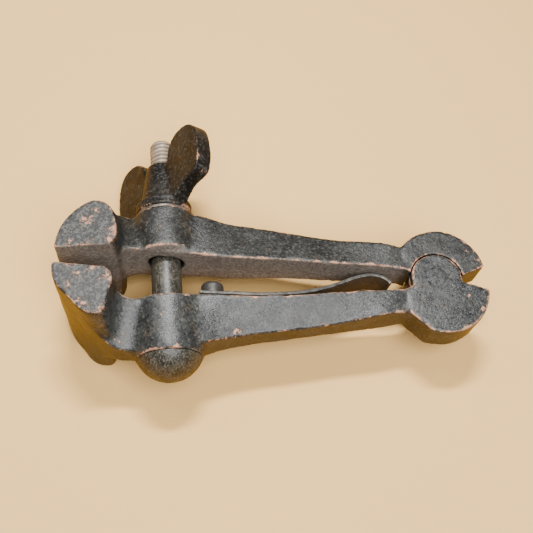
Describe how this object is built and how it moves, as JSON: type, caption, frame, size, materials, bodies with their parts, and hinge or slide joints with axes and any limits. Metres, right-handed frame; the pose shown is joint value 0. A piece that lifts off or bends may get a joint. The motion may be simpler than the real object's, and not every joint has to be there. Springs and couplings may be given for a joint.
{
  "type": "hand vice",
  "caption": "Small hand vice: two forged legs hinged at a knuckle, closed by a clamp bolt with a wing nut, with a leaf spring between the legs.",
  "frame": {"origin": "centre of the bottom of the bounding box, vice lying on the ends of its jaws", "axes": "+X along the vice from the jaws to the knuckle, +Y from the bolt's head to the wing nut, +Z along the knuckle pin"},
  "size_m": [0.1272, 0.0802, 0.038],
  "materials": {
    "japanned_iron": "worn black japanning over forged iron",
    "pin_steel": "filed flush and painted over",
    "bolt_steel": "black head and neck, bare worn thread",
    "washer_steel": "dull grey steel",
    "nut_iron": "worn black paint on cast iron",
    "spring_steel": "dull darkened spring steel",
    "rivet_steel": "worn dark steel"
  },
  "bodies": {
    "front_leg": {"front_leg": "japanned_iron", "knuckle_pin": "pin_steel", "clamp_bolt": "bolt_steel", "spring_rivet": "rivet_steel"},
    "rear_leg": {"rear_leg": "japanned_iron"},
    "washer": {"nut_washer": "washer_steel"},
    "wing_nut": {"wing_nut": "nut_iron"},
    "spring": {"leaf_spring": "spring_steel"}
  },
  "joints": [
    {"name": "jaw_open", "type": "hinge", "parent": "front_leg", "child": "rear_leg", "pos_m": [0.04772, -0.00843, 0.019], "axis": [0, 0, -1], "range_deg": [-2.1, 4.6]},
    {"name": "nut_travel", "type": "slide", "parent": "front_leg", "child": "washer", "axis": [-0.0785, 0.9969, 0], "range_m": [-0.00301, 0.00657]},
    {"name": "nut_spin", "type": "hinge", "parent": "washer", "child": "wing_nut", "pos_m": [-0.0356, 0.0211, 0.019], "axis": [-0.0785, 0.9969, 0], "range_deg": [-770, 1685]},
    {"name": "spring_flex", "type": "hinge", "parent": "front_leg", "child": "spring", "pos_m": [-0.01968, -0.01519, 0.019], "axis": [0, 0, 1], "range_deg": [-0.9, 1.95]}
  ],
  "couplings": [
    {"joint": "nut_travel", "follows": "jaw_open", "m_per_rad": 0.0817},
    {"joint": "nut_spin", "follows": "jaw_open", "ratio": 363.78},
    {"joint": "spring_flex", "follows": "jaw_open", "ratio": 0.415}
  ]
}
